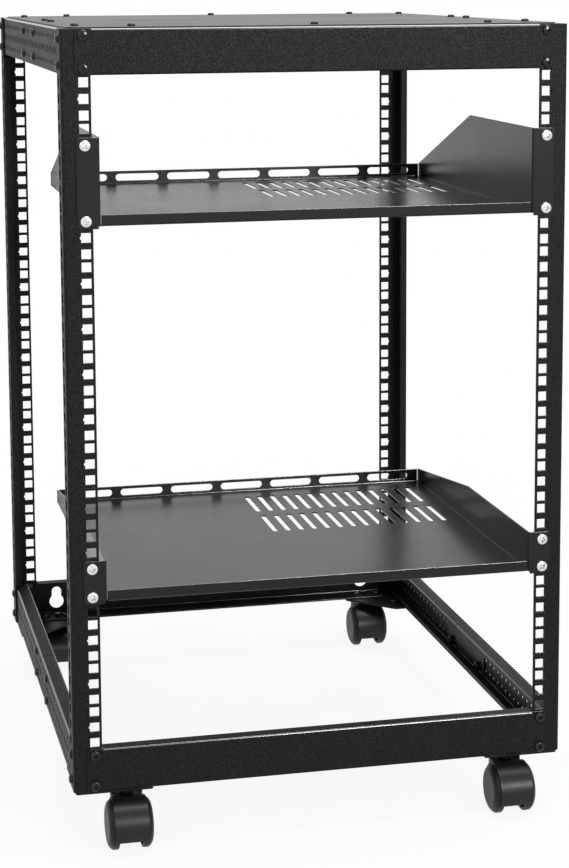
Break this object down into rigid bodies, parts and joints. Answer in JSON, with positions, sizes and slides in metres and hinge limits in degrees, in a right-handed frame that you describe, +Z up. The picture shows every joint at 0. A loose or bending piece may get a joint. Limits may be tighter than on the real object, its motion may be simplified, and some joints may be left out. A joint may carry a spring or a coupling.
{
  "type": "four post open frame rack",
  "caption": "Open frame equipment rack on twin-wheel casters, with square-holed posts, spliced side rails, a cover panel and two vented shelves.",
  "frame": {"origin": "bottom centre of the whole rack, casters included, on the floor", "axes": "+Z up, +X to the right and -Y to the front, where the shelves' ears are screwed on"},
  "size_m": [0.509, 0.6292, 0.8169],
  "materials": {
    "frame_paint": "fine textured black powder coat on folded steel",
    "panel_paint": "fine textured black powder coat on sheet steel",
    "shelf_paint": "fine textured black powder coat on folded sheet steel",
    "bracket_paint": "black powder coat on steel plate",
    "caster_hood": "satin black moulded nylon",
    "caster_wheel": "satin black moulded nylon wheel"
  },
  "bodies": {
    "frame": {"post_front_right": "frame_paint", "post_front_left": "frame_paint", "post_rear_right": "frame_paint", "post_rear_left": "frame_paint", "bottom_beam_front": "frame_paint", "bottom_beam_rear": "frame_paint", "top_beam_front": "frame_paint", "top_beam_rear": "frame_paint", "bottom_rail_right_front": "frame_paint", "bottom_rail_right_rear": "frame_paint", "bottom_rail_left_front": "frame_paint", "bottom_rail_left_rear": "frame_paint", "top_rail_right_front": "frame_paint", "top_rail_right_rear": "frame_paint", "top_rail_left_front": "frame_paint", "top_rail_left_rear": "frame_paint", "bottom_splice_right": "bracket_paint", "bottom_splice_left": "bracket_paint", "top_splice_right": "bracket_paint", "top_splice_left": "bracket_paint", "top_panel": "panel_paint", "shelf_upper": "shelf_paint", "shelf_lower": "shelf_paint", "caster_gusset_front_right": "bracket_paint", "caster_gusset_front_left": "bracket_paint", "caster_gusset_rear_right": "bracket_paint", "caster_gusset_rear_left": "bracket_paint"},
    "swivel_front_right": {"caster_hood_front_right": "caster_hood"},
    "wheel_outer_front_right": {"caster_wheel_outer_front_right": "caster_wheel"},
    "wheel_inner_front_right": {"caster_wheel_inner_front_right": "caster_wheel"},
    "swivel_front_left": {"caster_hood_front_left": "caster_hood"},
    "wheel_outer_front_left": {"caster_wheel_outer_front_left": "caster_wheel"},
    "wheel_inner_front_left": {"caster_wheel_inner_front_left": "caster_wheel"},
    "swivel_rear_right": {"caster_hood_rear_right": "caster_hood"},
    "wheel_outer_rear_right": {"caster_wheel_outer_rear_right": "caster_wheel"},
    "wheel_inner_rear_right": {"caster_wheel_inner_rear_right": "caster_wheel"},
    "swivel_rear_left": {"caster_hood_rear_left": "caster_hood"},
    "wheel_outer_rear_left": {"caster_wheel_outer_rear_left": "caster_wheel"},
    "wheel_inner_rear_left": {"caster_wheel_inner_rear_left": "caster_wheel"}
  },
  "joints": [
    {"name": "swivel_front_right", "type": "hinge", "parent": "frame", "child": "swivel_front_right", "pos_m": [0.2, -0.27185, 0.05], "axis": [0, 0, 1], "continuous": true},
    {"name": "roll_outer_front_right", "type": "hinge", "parent": "swivel_front_right", "child": "wheel_outer_front_right", "pos_m": [0.2, -0.28785, 0.025], "axis": [1, 0, 0], "continuous": true},
    {"name": "roll_inner_front_right", "type": "hinge", "parent": "swivel_front_right", "child": "wheel_inner_front_right", "pos_m": [0.2, -0.28785, 0.025], "axis": [1, 0, 0], "continuous": true},
    {"name": "swivel_front_left", "type": "hinge", "parent": "frame", "child": "swivel_front_left", "pos_m": [-0.2, -0.27185, 0.05], "axis": [0, 0, 1], "continuous": true},
    {"name": "roll_outer_front_left", "type": "hinge", "parent": "swivel_front_left", "child": "wheel_outer_front_left", "pos_m": [-0.2, -0.28785, 0.025], "axis": [1, 0, 0], "continuous": true},
    {"name": "roll_inner_front_left", "type": "hinge", "parent": "swivel_front_left", "child": "wheel_inner_front_left", "pos_m": [-0.2, -0.28785, 0.025], "axis": [1, 0, 0], "continuous": true},
    {"name": "swivel_rear_right", "type": "hinge", "parent": "frame", "child": "swivel_rear_right", "pos_m": [0.2, 0.29815, 0.05], "axis": [0, 0, 1], "continuous": true},
    {"name": "roll_outer_rear_right", "type": "hinge", "parent": "swivel_rear_right", "child": "wheel_outer_rear_right", "pos_m": [0.2, 0.28215, 0.025], "axis": [1, 0, 0], "continuous": true},
    {"name": "roll_inner_rear_right", "type": "hinge", "parent": "swivel_rear_right", "child": "wheel_inner_rear_right", "pos_m": [0.2, 0.28215, 0.025], "axis": [1, 0, 0], "continuous": true},
    {"name": "swivel_rear_left", "type": "hinge", "parent": "frame", "child": "swivel_rear_left", "pos_m": [-0.2, 0.29815, 0.05], "axis": [0, 0, 1], "continuous": true},
    {"name": "roll_outer_rear_left", "type": "hinge", "parent": "swivel_rear_left", "child": "wheel_outer_rear_left", "pos_m": [-0.2, 0.28215, 0.025], "axis": [1, 0, 0], "continuous": true},
    {"name": "roll_inner_rear_left", "type": "hinge", "parent": "swivel_rear_left", "child": "wheel_inner_rear_left", "pos_m": [-0.2, 0.28215, 0.025], "axis": [1, 0, 0], "continuous": true}
  ]
}
